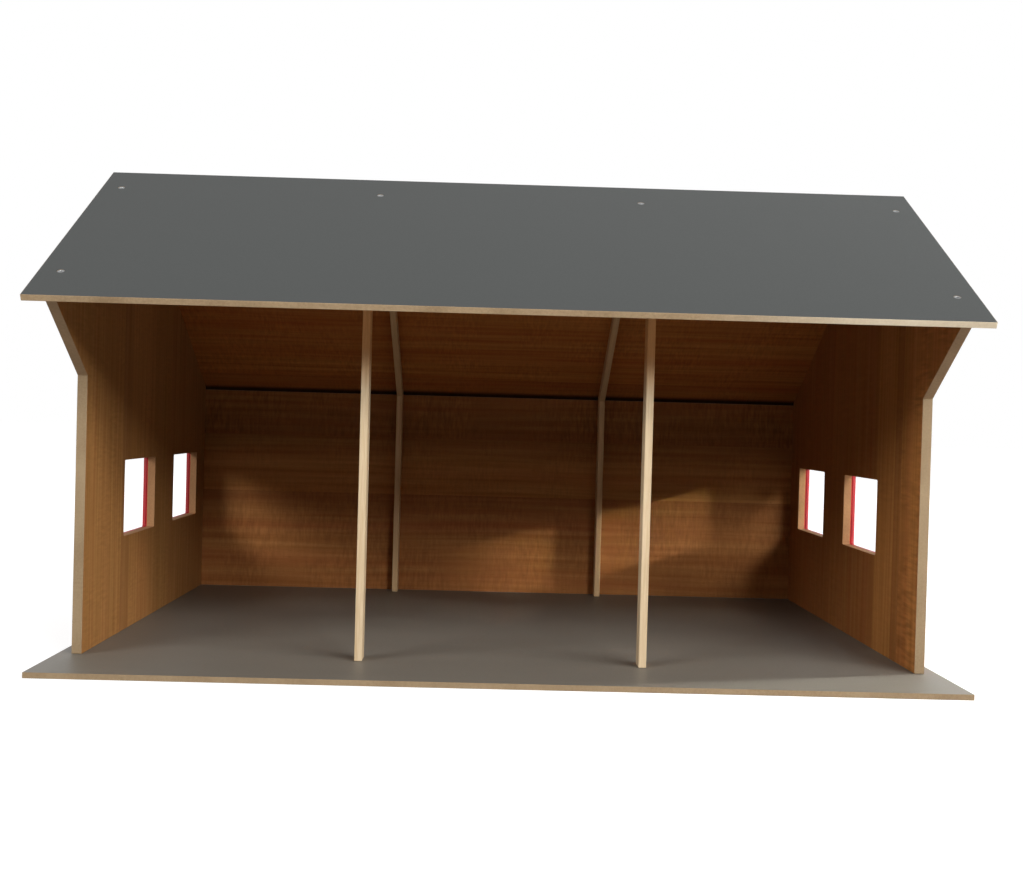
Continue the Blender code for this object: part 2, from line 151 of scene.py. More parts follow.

# each veneered board: the way of its grain, the range across the grain, the spacing and length of
# its ripples, its colours, its leaves as (start, tone, ripple, redness), and its slow change of
# tone across the grain, with painted shade on some boards, as (place, tone). Tones multiply the
# colour.
veneeredBoards = {
    "left wall": {
        "grain": "upright", "span": (-0.34, 0.32), "ripples": (5 * mm, 30 * mm),
        "light": "#A97A47", "dark": "#936838", "red": "#985F37",
        "leaves": ((-0.34, 1.10, 0.10, 0.0), (-0.100, 0.90, 0.06, 0.2),
                   (-0.066, 1.08, 0.08, 0.0), (0.112, 1.00, 0.06, 0.1),
                   (0.210, 1.02, 0.06, 0.0)),
        "drift": ((-0.34, 1.0), (-0.15, 1.0), (-0.07, 1.12), (0.0, 1.1), (0.05, 0.95),
                  (0.15, 1.04), (0.32, 0.98)),
    },
    "right wall": {
        "grain": "upright", "span": (-0.34, 0.32), "ripples": (6 * mm, 45 * mm),
        "light": "#AD7640", "dark": "#986532", "red": "#9E5830",
        "leaves": ((-0.34, 1.10, 0.26, 0.1), (-0.168, 0.92, 0.08, 0.2),
                   (-0.148, 1.14, 0.06, 0.0), (-0.085, 0.96, 0.07, 0.2),
                   (0.097, 0.88, 0.08, 0.3)),
        "drift": ((-0.34, 1.08), (-0.205, 1.15), (-0.18, 0.94), (0.06, 0.96), (0.10, 1.08),
                  (0.22, 1.12), (0.32, 1.05)),
    },
    "back wall": {
        "grain": "level", "span": (0.0, 0.26), "ripples": (4 * mm, 22 * mm),
        "light": "#B07A44", "dark": "#92602F", "red": "#9E572F",
        "leaves": ((0.0, 0.90, 0.14, 0.2), (0.1275, 1.16, 0.10, 0.0),
                   (0.200, 1.10, 0.20, 0.2)),
        # darker towards the top: partly a dark band of the veneer, partly painted shade under the
        # eave
        "drift": ((0.0, 1.12), (0.06, 1.18), (0.12, 1.14), (0.165, 1.04),
                  (0.185, 0.80), (0.205, 0.66), (0.225, 0.72), (0.245, 0.84), (0.26, 0.82)),
    },
    # the dark band between two tones of 1 is painted shade in the gap where the panel passes over
    # the back wall
    "rear roof": {
        "grain": "rearSlope", "span": (-0.45, 0.20), "ripples": (4 * mm, 22 * mm),
        "light": "#C58846", "dark": "#965D28", "red": "#AC5C2D",
        "leaves": ((-0.45, 1.05, 0.12, 0.2), (-0.10, 1.05, 0.14, 0.3), (0.1097, 0.92, 0.10, 0.4)),
        "drift": ((-0.45, 1.0), (0.1405, 1.0), (0.1485, 0.12), (0.155, 0.12), (0.163, 1.0)),
    },
    "front roof": {
        "grain": "frontSlope", "span": (-0.15, 0.25), "ripples": (4 * mm, 22 * mm),
        "light": "#B97E3E", "dark": "#9F642C", "red": "#AC5C2D",
        "leaves": ((-0.15, 1.0, 0.05, 0.2), (0.05, 0.92, 0.05, 0.3)),
        "drift": ((-0.15, 1.0), (0.25, 1.0)),
    },
}


def oiledVeneer(board):
    v, b = veneer, veneeredBoards[board]
    low, high = b["span"]
    material, tree, shader = newMaterial("oiled veneer, " + board)
    place = addNode(tree, "ShaderNodeTexCoord").outputs["Object"]
    turned = addNode(tree, "ShaderNodeMapping", {
        "Vector": place, "Rotation": grainTurns[b["grain"]]})
    axes = addNode(tree, "ShaderNodeSeparateXYZ", {0: turned.outputs[0]})
    share = addNode(tree, "ShaderNodeMapRange", {
        "Value": axes.outputs["Y"], "From Min": low, "From Max": high})
    # a stepped ramp across the grain holds each leaf's tone, ripple and redness as its colour,
    # and a smooth one the slow change of tone with its painted shade
    stepped = [(start, (tone / 2, ripple, red, 1)) for start, tone, ripple, red in b["leaves"]]
    smooth = [(start, (tone / 2, tone / 2, tone / 2, 1)) for start, tone in b["drift"]]
    ramps = []
    for interpolation, stops in (("CONSTANT", stepped), ("LINEAR", smooth)):
        made = addNode(tree, "ShaderNodeValToRGB", {"Fac": share.outputs["Result"]})
        made.color_ramp.interpolation = interpolation
        elements = made.color_ramp.elements
        elements.remove(elements[1])
        elements[0].color = stops[0][1]
        for start, value in stops[1:]:
            elements.new((start - low) / (high - low)).color = value
        ramps.append(made.outputs["Color"])
    leaf = addNode(tree, "ShaderNodeSeparateColor", {0: ramps[0]})
    # each leaf has its own stretch of pattern, and the grain wanders a little
    shifted = addNode(tree, "ShaderNodeVectorMath", {
        0: ramps[0], 1: v["leafShift"], 2: turned.outputs[0]}, operation="MULTIPLY_ADD")
    bendPlace = addNode(tree, "ShaderNodeMapping", {
        "Vector": shifted.outputs[0], "Scale": v["wanderScale"]})
    bend = addNode(tree, "ShaderNodeTexNoise", {
        "Vector": bendPlace.outputs[0], "Scale": 1, "Detail": 1})
    sideways = addNode(tree, "ShaderNodeMapRange", {
        "Value": bend.outputs["Fac"], "To Min": -v["wander"], "To Max": v["wander"]})
    offset = addNode(tree, "ShaderNodeCombineXYZ", {"Y": sideways.outputs[0]})
    grain = addNode(tree, "ShaderNodeVectorMath", {
        0: shifted.outputs[0], 1: offset.outputs[0]}, operation="ADD").outputs[0]
    # one noise at five sizes; its middle range is spread over the range that each figure needs
    found = {}
    for role, along, across, detail, fromLow, fromHigh, toLow, toHigh in (
            ("streak", v["streakLength"], v["streakWidth"], 3, 0.3, 0.7, 0, 1),
            ("band", v["bandLength"], v["bandWidth"], 2, 0.35, 0.75, 0, 0.35),
            ("pore", v["poreLength"], v["poreWidth"], 0, 0.68, 0.80, 0, 0.3),
            ("ripple", *b["ripples"], 1, 0.3, 0.7, -1, 1),
            ("patch", v["patchSize"], v["patchSize"], 1, 0.35, 0.6, 0.2, 1)):
        sized = addNode(tree, "ShaderNodeMapping", {
            "Vector": grain, "Scale": (1 / along, 1 / across, v["inwards"])})
        cloud = addNode(tree, "ShaderNodeTexNoise", {
            "Vector": sized.outputs[0], "Scale": v["noiseScale"], "Detail": detail})
        found[role] = addNode(tree, "ShaderNodeMapRange", {
            "Value": cloud.outputs["Fac"], "From Min": fromLow, "From Max": fromHigh,
            "To Min": toLow, "To Max": toHigh}).outputs["Result"]
    reddish = addNode(tree, "ShaderNodeMath", {0: found["band"], 1: leaf.outputs["Blue"]},
                      operation="ADD", use_clamp=True)
    depth = addNode(tree, "ShaderNodeMath", {0: found["patch"], 1: leaf.outputs["Green"]},
                    operation="MULTIPLY")
    ripple = addNode(tree, "ShaderNodeMath", {
        0: found["ripple"], 1: depth.outputs[0], 2: 1.0}, operation="MULTIPLY_ADD")
    tone = addNode(tree, "ShaderNodeMath", {0: leaf.outputs["Red"], 1: ramps[1]},
                   operation="MULTIPLY")
    # both ramps hold half their tone
    full = addNode(tree, "ShaderNodeMath", {0: tone.outputs[0], 1: 4.0}, operation="MULTIPLY")
    shade = addNode(tree, "ShaderNodeMath", {0: ripple.outputs[0], 1: full.outputs[0]},
                    operation="MULTIPLY")
    wood = addNode(tree, "ShaderNodeMix", {
        "Factor": found["streak"], 6: linearColour(b["dark"]), 7: linearColour(b["light"])},
        data_type="RGBA")
    reddened = addNode(tree, "ShaderNodeMix", {
        "Factor": reddish.outputs[0], 6: wood.outputs[2], 7: linearColour(b["red"])},
        data_type="RGBA")
    pored = addNode(tree, "ShaderNodeMix", {
        "Factor": found["pore"], 6: reddened.outputs[2], 7: linearColour(v["pore"])},
        data_type="RGBA")
    colour = addNode(tree, "ShaderNodeVectorMath", {
        0: pored.outputs[2], "Scale": shade.outputs[0]}, operation="SCALE")
    rough = addNode(tree, "ShaderNodeMapRange", {
        "Value": found["streak"], "To Min": v["roughness"][1], "To Max": v["roughness"][0]})
    height = addNode(tree, "ShaderNodeMath", {0: found["streak"], 1: found["pore"]},
                     operation="SUBTRACT")
    bump = addNode(tree, "ShaderNodeBump", {
        "Height": height.outputs[0], "Distance": v["relief"], "Strength": 1.0})
    tree.links.new(colour.outputs[0], shader.inputs["Base Color"])
    tree.links.new(rough.outputs[0], shader.inputs["Roughness"])
    tree.links.new(bump.outputs[0], shader.inputs["Normal"])
    # the smooth ramp dims the shine too, so that the painted shade doesn't shine
    shine = addNode(tree, "ShaderNodeMapRange", {"Value": ramps[1], "To Max": 2 * v["specular"]})
    tree.links.new(shine.outputs[0], shader.inputs["Specular IOR Level"])
    return material


# Melamine laminate: printed paper under clear resin, pressed against a fine matt plate. The eye
# gets one quiet colour with hardly any mottle and a soft broad reflection. The colour's slow
# change over the board is painted light on the roof and painted shade on the floor.
laminates = {
    # painted light: a little lighter towards the right end, most so at the ridge
    "roof": {"light": "#464847", "dark": "#414342", "roughness": 0.55, "specular": 0.2,
             "zone": {"light": "#4F5150", "dark": "#4A4C4B",
                      "ramps": (("X", -0.42, 0.42), ("Y", -0.80, -0.07))}},
    # painted shade: deeper and warmer towards the back wall
    "floor": {"light": "#817B71", "dark": "#797369", "roughness": 0.48, "specular": 0.25,
              "zone": {"light": "#6F665A", "dark": "#686054", "ramps": (("Y", 0.04, 0.22),)}},
    "mottleSize": 9 * mm,
    "mottleStretch": 7,          # the print's mottle is drawn out along the board
    "spread": (0.6, 1.4),        # the sums of the noises that give the dark and the light tone
    "unevenness": 0.04,          # of the roughness
    "grit": 0.9 * mm,            # the press plate's texture is finer, drawn coarser
    "relief": 0.012 * mm,
}


def melamineLaminate(name, kind):
    look = laminates[kind]
    material, tree, shader = newMaterial(name)
    place = addNode(tree, "ShaderNodeTexCoord").outputs["Object"]
    stretched = addNode(tree, "ShaderNodeMapping", {
        "Vector": place, "Scale": (1 / laminates["mottleStretch"], 1, 1)})
    mottle = addNode(tree, "ShaderNodeTexNoise", {
        "Vector": stretched.outputs[0], "Scale": 0.5 / laminates["mottleSize"], "Detail": 4})
    grit = addNode(tree, "ShaderNodeTexNoise", {
        "Vector": place, "Scale": 0.5 / laminates["grit"], "Detail": 1})
    both = addNode(tree, "ShaderNodeMath", {
        0: mottle.outputs["Fac"], 1: grit.outputs["Fac"]}, operation="ADD")
    share = addNode(tree, "ShaderNodeMapRange", {
        "Value": both.outputs[0], "From Min": laminates["spread"][0],
        "From Max": laminates["spread"][1]})
    colour = addNode(tree, "ShaderNodeMix", {
        "Factor": share.outputs[0], 6: toneWithPaintedShading(tree, look, "dark", place),
        7: toneWithPaintedShading(tree, look, "light", place)}, data_type="RGBA")
    rough = addNode(tree, "ShaderNodeMapRange", {
        "Value": mottle.outputs["Fac"], "To Min": look["roughness"] - laminates["unevenness"],
        "To Max": look["roughness"] + laminates["unevenness"]})
    bump = addNode(tree, "ShaderNodeBump", {
        "Height": grit.outputs["Fac"], "Distance": laminates["relief"], "Strength": 1.0})
    tree.links.new(colour.outputs[2], shader.inputs["Base Color"])
    tree.links.new(rough.outputs[0], shader.inputs["Roughness"])
    tree.links.new(bump.outputs[0], shader.inputs["Normal"])
    shader.inputs["Specular IOR Level"].default_value = look["specular"]
    return material


# Red toy paint: two sprayed coats of satin acrylic on fibreboard. Strong even red, with the
# board's texture just showing through and slightly thinner paint where the gun passed fast.
paint = {
    "full": "#C4202A",
    "thin": "#B02A2C",
    "patch": 12 * mm,
    "texture": 0.8 * mm,
    "relief": 0.03 * mm,
    "roughness": 0.38,
}


def redEnamel(name):
    material, tree, shader = newMaterial(name)
    place = addNode(tree, "ShaderNodeTexCoord").outputs["Object"]
    patch = addNode(tree, "ShaderNodeTexNoise", {
        "Vector": place, "Scale": 0.5 / paint["patch"], "Detail": 2})
    texture = addNode(tree, "ShaderNodeTexNoise", {
        "Vector": place, "Scale": 0.5 / paint["texture"], "Detail": 2})
    colour = addNode(tree, "ShaderNodeMix", {
        "Factor": patch.outputs["Fac"], 6: linearColour(paint["thin"]),
        7: linearColour(paint["full"])}, data_type="RGBA")
    bump = addNode(tree, "ShaderNodeBump", {
        "Height": texture.outputs["Fac"], "Distance": paint["relief"], "Strength": 1.0})
    tree.links.new(colour.outputs[2], shader.inputs["Base Color"])
    tree.links.new(bump.outputs[0], shader.inputs["Normal"])
    shader.inputs["Roughness"].default_value = paint["roughness"]
    return material


# Bare fibreboard: sawn edges of medium-density board. Pale tan and matt, with fibres matted into
# small flecks and broader clouds. The routed openings of the windows took some oil and are
# browner, and so is the raw side of the base board.
fibreboards = {
    # painted light: lighter on the flares
    "edge": {"light": "#A48D6E", "dark": "#90795C", "fleck": 1.1 * mm, "roughness": 0.8,
             "zone": {"light": "#BC9C79", "dark": "#A58665", "ramps": (("Z", 0.2555, 0.2565),)}},
    # painted light: paler towards the right end of the eave
    "roofEdge": {"light": "#BCA17F", "dark": "#997F5F", "fleck": 1.1 * mm, "roughness": 0.8,
                 "zone": {"light": "#E0CFB4", "dark": "#D2BFA2",
                          "ramps": (("X", 0.15, 0.30), ("Y", -0.31, -0.335))}},
    "opening": {"light": "#BB8C61", "dark": "#A67852", "fleck": 1.1 * mm, "roughness": 0.75,
                "paintedFrom": 385.3 * mm, "paintFade": 0.3 * mm},
    "rawSide": {"light": "#A98560", "dark": "#8C6A48", "fleck": 2.5 * mm, "roughness": 0.7},
    "cloud": 18,                 # a cloud's size in flecks
    "spread": (0.7, 1.3),        # the sums of the noises that give the dark and the light tone
    "specular": 0.2,
    "relief": 0.05 * mm,
}


def bareFibreboard(name, kind):
    look = fibreboards[kind]
    material, tree, shader = newMaterial(name)
    place = addNode(tree, "ShaderNodeTexCoord").outputs["Object"]
    fleck = addNode(tree, "ShaderNodeTexNoise", {
        "Vector": place, "Scale": 0.5 / look["fleck"], "Detail": 4, "Roughness": 0.7})
    cloud = addNode(tree, "ShaderNodeTexNoise", {
        "Vector": place, "Scale": 0.5 / (look["fleck"] * fibreboards["cloud"]), "Detail": 2})
    both = addNode(tree, "ShaderNodeMath", {
        0: fleck.outputs["Fac"], 1: cloud.outputs["Fac"]}, operation="ADD")
    share = addNode(tree, "ShaderNodeMapRange", {
        "Value": both.outputs[0], "From Min": fibreboards["spread"][0],
        "From Max": fibreboards["spread"][1]})
    colour = addNode(tree, "ShaderNodeMix", {
        "Factor": share.outputs[0], 6: toneWithPaintedShading(tree, look, "dark", place),
        7: toneWithPaintedShading(tree, look, "light", place)}, data_type="RGBA")
    if "paintedFrom" in look:
        # the frames' red paint runs on over the outer ends of the openings
        axes = addNode(tree, "ShaderNodeSeparateXYZ", {0: place})
        outwards = addNode(tree, "ShaderNodeMath", {0: axes.outputs["X"]}, operation="ABSOLUTE")
        painted = addNode(tree, "ShaderNodeMapRange", {
            "Value": outwards.outputs[0], "From Min": look["paintedFrom"],
            "From Max": look["paintedFrom"] + look["paintFade"]})
        colour = addNode(tree, "ShaderNodeMix", {
            "Factor": painted.outputs[0], 6: colour.outputs[2],
            7: linearColour(paint["full"])}, data_type="RGBA")
    bump = addNode(tree, "ShaderNodeBump", {
        "Height": fleck.outputs["Fac"], "Distance": fibreboards["relief"], "Strength": 1.0})
    tree.links.new(colour.outputs[2], shader.inputs["Base Color"])
    tree.links.new(bump.outputs[0], shader.inputs["Normal"])
    shader.inputs["Roughness"].default_value = look["roughness"]
    shader.inputs["Specular IOR Level"].default_value = fibreboards["specular"]
    return material


# Planed solid wood, unfinished: pale strips with straight, fine grain, matt. The rear posts and
# the rafters are given a warmer tone than the front posts: painted warm shade.
solidWoods = {
    # painted shade: the tops of the front posts are warmer and browner, as in the shade under the
    # roof
    "strip": {"light": "#DBC4A1", "dark": "#CBAF89", "roughness": 0.6,
              "zone": {"light": "#D59C62", "dark": "#C78E55", "ramps": (("Z", 0.25, 0.288),)}},
    # painted shade: the rear posts and the rafters warmer, as in the shade inside
    "warmStrip": {"light": "#DBB88A", "dark": "#CBA678", "roughness": 0.6},
    "dowel": {"light": "#D9B88C", "dark": "#BE9566", "roughness": 0.65},
    "ringWidth": 1.3 * mm,       # across the grain, and along it
    "ringLength": 120 * mm,
    "fibreWidth": 0.5 * mm,      # fibres are finer, drawn coarser
    "fibreLength": 14 * mm,
    "spread": (0.75, 1.2),       # the sums of the noises that give the dark and the light tone
    "specular": 0.25,
    "relief": 0.03 * mm,
}


def planedWood(name, kind, grainTurn):
    look = solidWoods[kind]
    material, tree, shader = newMaterial(name)
    place = addNode(tree, "ShaderNodeTexCoord").outputs["Object"]
    turned = addNode(tree, "ShaderNodeMapping", {"Vector": place, "Rotation": grainTurn})
    noises = []
    for alongSize, acrossSize in (
            (solidWoods["ringLength"], solidWoods["ringWidth"]),
            (solidWoods["fibreLength"], solidWoods["fibreWidth"])):
        sized = addNode(tree, "ShaderNodeMapping", {
            "Vector": turned.outputs[0],
            "Scale": (0.5 / alongSize, 0.5 / acrossSize, 0.35 / acrossSize)})
        noises.append(addNode(tree, "ShaderNodeTexNoise", {
            "Vector": sized.outputs[0], "Scale": 1, "Detail": 3}).outputs["Fac"])
    both = addNode(tree, "ShaderNodeMath", {0: noises[0], 1: noises[1]}, operation="ADD")
    share = addNode(tree, "ShaderNodeMapRange", {
        "Value": both.outputs[0], "From Min": solidWoods["spread"][0],
        "From Max": solidWoods["spread"][1]})
    colour = addNode(tree, "ShaderNodeMix", {
        "Factor": share.outputs[0], 6: toneWithPaintedShading(tree, look, "dark", place),
        7: toneWithPaintedShading(tree, look, "light", place)}, data_type="RGBA")
    bump = addNode(tree, "ShaderNodeBump", {
        "Height": noises[1], "Distance": solidWoods["relief"], "Strength": 1.0})
    tree.links.new(colour.outputs[2], shader.inputs["Base Color"])
    tree.links.new(bump.outputs[0], shader.inputs["Normal"])
    shader.inputs["Roughness"].default_value = look["roughness"]
    shader.inputs["Specular IOR Level"].default_value = solidWoods["specular"]
    return material


# Zinc-plated steel: bright bluish-white plating on a cold-headed screw, slightly streaky.
zinc = {
    "base": "#939494",
    "dull": "#7C7D7D",
    "stain": 1.5 * mm,
    "roughness": (0.28, 0.42),   # of the bright and of the dull plating
}


def zincPlatedSteel(name):
    material, tree, shader = newMaterial(name)
    place = addNode(tree, "ShaderNodeTexCoord").outputs["Object"]
    stain = addNode(tree, "ShaderNodeTexNoise", {
        "Vector": place, "Scale": 0.5 / zinc["stain"], "Detail": 3})
    colour = addNode(tree, "ShaderNodeMix", {
        "Factor": stain.outputs["Fac"], 6: linearColour(zinc["dull"]),
        7: linearColour(zinc["base"])}, data_type="RGBA")
    rough = addNode(tree, "ShaderNodeMapRange", {
        "Value": stain.outputs["Fac"], "To Min": zinc["roughness"][1],
        "To Max": zinc["roughness"][0]})
    tree.links.new(colour.outputs[2], shader.inputs["Base Color"])
    tree.links.new(rough.outputs[0], shader.inputs["Roughness"])
    shader.inputs["Metallic"].default_value = 1.0
    return material


def nodePoints(name):
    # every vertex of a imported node, as one array
    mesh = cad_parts[name].data
    points = np.empty(len(mesh.vertices) * 3, dtype=np.float32)
    mesh.vertices.foreach_get("co", points)
    return points.reshape(-1, 3).astype(float)


def roundedLoop(corners, radius, steps):
    # each corner becomes an arc that touches both of its edges: the arc's centre lies on the
    # corner's bisector, radius / sin(half the corner's angle) away from the corner
    corners = np.array(corners, dtype=float)
    before = np.roll(corners, 1, axis=0) - corners
    after = np.roll(corners, -1, axis=0) - corners
    before /= np.linalg.norm(before, axis=1, keepdims=True)
    after /= np.linalg.norm(after, axis=1, keepdims=True)
    halfAngle = np.arccos(np.clip(np.sum(before * after, axis=1), -1, 1)) / 2
    bisector = before + after
    bisector /= np.linalg.norm(bisector, axis=1, keepdims=True)
    centre = corners + bisector * (radius / np.sin(halfAngle))[:, None]
    reach = (radius / np.tan(halfAngle))[:, None]
    first = corners + before * reach - centre
    last = corners + after * reach - centre
    start = np.arctan2(first[:, 1], first[:, 0])
    sweep = np.arctan2(last[:, 1], last[:, 0]) - start
    sweep = (sweep + math.pi) % math.tau - math.pi
    angle = start[:, None] + sweep[:, None] * np.linspace(0, 1, steps + 1)[None, :]
    arc = np.stack([np.cos(angle), np.sin(angle)], axis=2) * radius
    return (centre[:, None, :] + arc).reshape(-1, 2)


def circleLoop(centre, radius, steps):
    # clockwise, so that the board's material lies to the left of the way round
    angle = -np.arange(steps) / steps * math.tau
    return np.array(centre) + radius * np.stack([np.cos(angle), np.sin(angle)], axis=1)


def easedProfile(thickness, ease, steps):
    # (inset, depth) from the top face to the bottom face, with a quarter round at each
    turn = np.linspace(0, math.pi / 2, steps + 1)
    top = np.stack([1 - np.sin(turn), 1 - np.cos(turn)], axis=1) * ease
    bottom = top[::-1] * (1, -1) + (0, thickness)
    return np.concatenate([top, bottom])


def carriedRing(loop, profile):
    # a profile carried round a closed loop: each point of the loop moves along the mitre of its
    # two edges, to the left by the profile's inset, and down by the profile's depth
    along = np.roll(loop, -1, axis=0) - loop
    along /= np.linalg.norm(along, axis=1, keepdims=True)
    left = np.stack([-along[:, 1], along[:, 0]], axis=1)
    leftBefore = np.roll(left, 1, axis=0)
    mitre = (left + leftBefore) / (1 + np.sum(left * leftBefore, axis=1, keepdims=True))
    flat = loop[:, None, :] + mitre[:, None, :] * profile[None, :, :1]
    down = np.broadcast_to(-profile[None, :, 1:], (len(loop), len(profile), 1))
    return np.concatenate([flat, down], axis=2)


def ringQuads(count, steps, first):
    # the quads between neighbouring points of a ring, facing away from the material
    here, level = np.meshgrid(np.arange(count), np.arange(steps - 1), indexing="ij")
    there = (here + 1) % count
    quads = np.stack([here * steps + level, here * steps + level + 1,
                      there * steps + level + 1, there * steps + level], axis=2)
    return (first + quads).reshape(-1, 4)


def boardPiece(name, rings, place, materials):
    # a board between two flat faces: rings carried round its outline and its openings make the
    # edges, and a triangulation between the rings' first, then last, points makes the faces
    origin, alongU, alongV, outward = (np.array(part) for part in place)
    starts = np.cumsum([0] + [ring.shape[0] * ring.shape[1] for ring in rings])
    local = np.concatenate([ring.reshape(-1, 3) for ring in rings])
    quads = [ringQuads(ring.shape[0], ring.shape[1], start)
             for ring, start in zip(rings, starts)]
    faces = np.concatenate(quads).tolist()
    # material 2 on the outer edge, the last one on the openings' edges
    kinds = [2] * len(quads[0]) + [len(materials) - 1] * (len(faces) - len(quads[0]))
    for kind, column in ((0, 0), (1, -1)):
        rims = [start + np.arange(ring.shape[0]) * ring.shape[1] + column % ring.shape[1]
                for ring, start in zip(rings, starts)]
        order = np.concatenate(rims)
        bounds = np.cumsum([0] + [len(rim) for rim in rims])
        loops = [list(range(low, high)) for low, high in zip(bounds, bounds[1:])]
        flat = [Vector(point) for point in local[order, :2]]
        # the 2 asks for the triangles inside the outline, without those in the openings
        found = delaunay_2d_cdt(flat, [], loops, 2, 1e-7)
        assert len(found[0]) == len(order), name
        cap = order[np.array(found[2])]
        faces += (cap if kind == 0 else cap[:, ::-1]).tolist()
        kinds += [kind] * len(cap)
    world = origin + local[:, :1] * alongU + local[:, 1:2] * alongV + local[:, 2:] * outward
    if np.dot(np.cross(alongU, alongV), outward) < 0:
        faces = [face[::-1] for face in faces]
    mesh = bpy.data.meshes.new(name)
    mesh.from_pydata(world.tolist(), [], faces)
    mesh.polygons.foreach_set("material_index", kinds)
    for material in materials:
        mesh.materials.append(material)
    mesh.validate()
    piece = bpy.data.objects.new(name, mesh)
    bpy.context.scene.collection.objects.link(piece)
    return piece


# Countersunk wood screws with a cross recess, each in its countersunk hole
screw = {
    "length": 15 * mm,
    "headDiameter": 6 * mm,
    "headHeight": 1.7 * mm,
    "rim": 0.2 * mm,
    "shankDiameter": 3 * mm,
    "tipLength": 2 * mm,
    "sink": 0.1 * mm,
    "recessReach": 1.75 * mm,    # from the axis to the end of an arm
    "recessHalfWidth": 0.42 * mm,
    "recessWall": 0.22 * mm,     # how far the recess's walls slope
    "recessDepth": 1.1 * mm,
    "clearance": 0.3 * mm,       # round the screw, in the countersunk hole
    "sides": 40,
    "holeSides": 32,
    "headRings": 14,
    "sharpFrom": 35,             # degrees between faces
}

# the start of the nodes' names, the board that the screws go through, and the way out of it
screwRows = {
    "roof_screw_front": ("roof_panel_front", frontRoofNormal),
    "roof_screw_rear": ("roof_panel_rear", rearRoofNormal),
    "base_screw": ("base_board", Vector((0, 0, -1))),
    "back_screw": ("back_wall", Vector((0, 1, 0))),
}


def screwSeats():
    # (node, board, point on the board's face, axis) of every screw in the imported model: the tip
    # is the vertex that lies deepest along the axis
    seats = []
    for node in sorted(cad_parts):
        for prefix, (board, axis) in screwRows.items():
            if node.startswith(prefix):
                points = nodePoints(node)
                tip = points[np.argmin(points @ np.array(axis))]
                seat = Vector(tip) + axis * (screw["length"] + screw["sink"])
                seats.append((node, board, seat, axis))
    return seats


def screwPiece(name, seat, axis, turn, material):
    # rings round the axis: the head's face dips into a cross where a point lies within an arm,
    # then the rings run down the head's cone, the shank and the tip; a pole closes each end
    s = screw
    head, shank = s["headDiameter"] / 2, s["shankDiameter"] / 2
    radius = np.concatenate([
        head * np.linspace(0, 1, s["headRings"] + 1)[1:],
        [head, shank, shank]])
    level = np.concatenate([
        np.zeros(s["headRings"]),
        [-s["rim"], -s["headHeight"], s["tipLength"] - s["length"]]])
    angle = np.arange(s["sides"]) / s["sides"] * math.tau
    x = radius[None, :] * np.cos(angle)[:, None]
    y = radius[None, :] * np.sin(angle)[:, None]
    arms = []
    for along, across in ((x, y), (y, x)):
        end = np.clip((s["recessReach"] - np.abs(along)) / s["recessWall"], 0, 1)
        side = np.clip((s["recessHalfWidth"] - np.abs(across)) / s["recessWall"] + 1, 0, 1)
        arms.append(end * side)
    onFace = (np.arange(len(radius)) < s["headRings"])[None, :]
    dip = np.maximum(arms[0], arms[1]) * onFace * s["recessDepth"]
    grid = np.stack([x, y, level[None, :] - dip], axis=2)
    poles = np.array([[0, 0, -s["recessDepth"]], [0, 0, -s["length"]]])
    local = np.concatenate([grid.reshape(-1, 3), poles])
    count, steps = grid.shape[:2]
    here = np.arange(count)
    there = (here + 1) % count
    top = np.stack([np.full(count, count * steps), here * steps, there * steps], axis=1)
    tip = np.stack([np.full(count, count * steps + 1), there * steps + steps - 1,
                    here * steps + steps - 1], axis=1)
    faces = ringQuads(count, steps, 0).tolist() + top.tolist() + tip.tolist()
    spin = Vector(axis).to_track_quat("Z", "Y").to_matrix() @ Matrix.Rotation(turn, 3, "Z")
    face = Vector(seat) - Vector(axis) * s["sink"]
    world = local @ np.array(spin).T + np.array(face)
    mesh = bpy.data.meshes.new(name)
    mesh.from_pydata(world.tolist(), [], faces)
    mesh.shade_smooth()
    mesh.set_sharp_from_angle(angle=math.radians(s["sharpFrom"]))
    mesh.materials.append(material)
    piece = bpy.data.objects.new(name, mesh)
    bpy.context.scene.collection.objects.link(piece)
    return piece


def boardRings(corners, thickness, windows, seats, place, lean=None):
    # the rings of one board: its outline, its windows and its countersunk holes
    origin, alongU, alongV = place[0], place[1], place[2]
    edge = easedProfile(thickness, garage["boardEase"], garage["easeSteps"])
    outline = roundedLoop(corners, garage["cornerRadius"], garage["cornerSteps"])
    rings = [carriedRing(outline, edge)]
    if lean:
        # a plumb edge: the points near it slide along V in proportion to their depth
        at, rate = lean
        near = np.abs(rings[0][..., 1] - at) < thickness
        rings[0][..., 1] += np.where(near, rings[0][..., 2] * rate, 0)
    for window in windows:
        rings.append(carriedRing(window, edge))
    head = screw["headDiameter"] / 2 + screw["clearance"]
    shank = screw["shankDiameter"] / 2 + screw["clearance"]
    sunk = np.array([(0, 0), (0, screw["sink"] + screw["rim"]),
                     (shank - head, screw["sink"] + screw["headHeight"]),
                     (shank - head, thickness)])
    for seat in seats:
        offset = seat - Vector(origin)
        centre = (offset.dot(Vector(alongU)), offset.dot(Vector(alongV)))
        rings.append(carriedRing(circleLoop(centre, head, screw["holeSides"]), sunk))
    return rings


def dress(piece, slot, *nodes):
    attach(piece, "root")
    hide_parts(*nodes)
    return piece


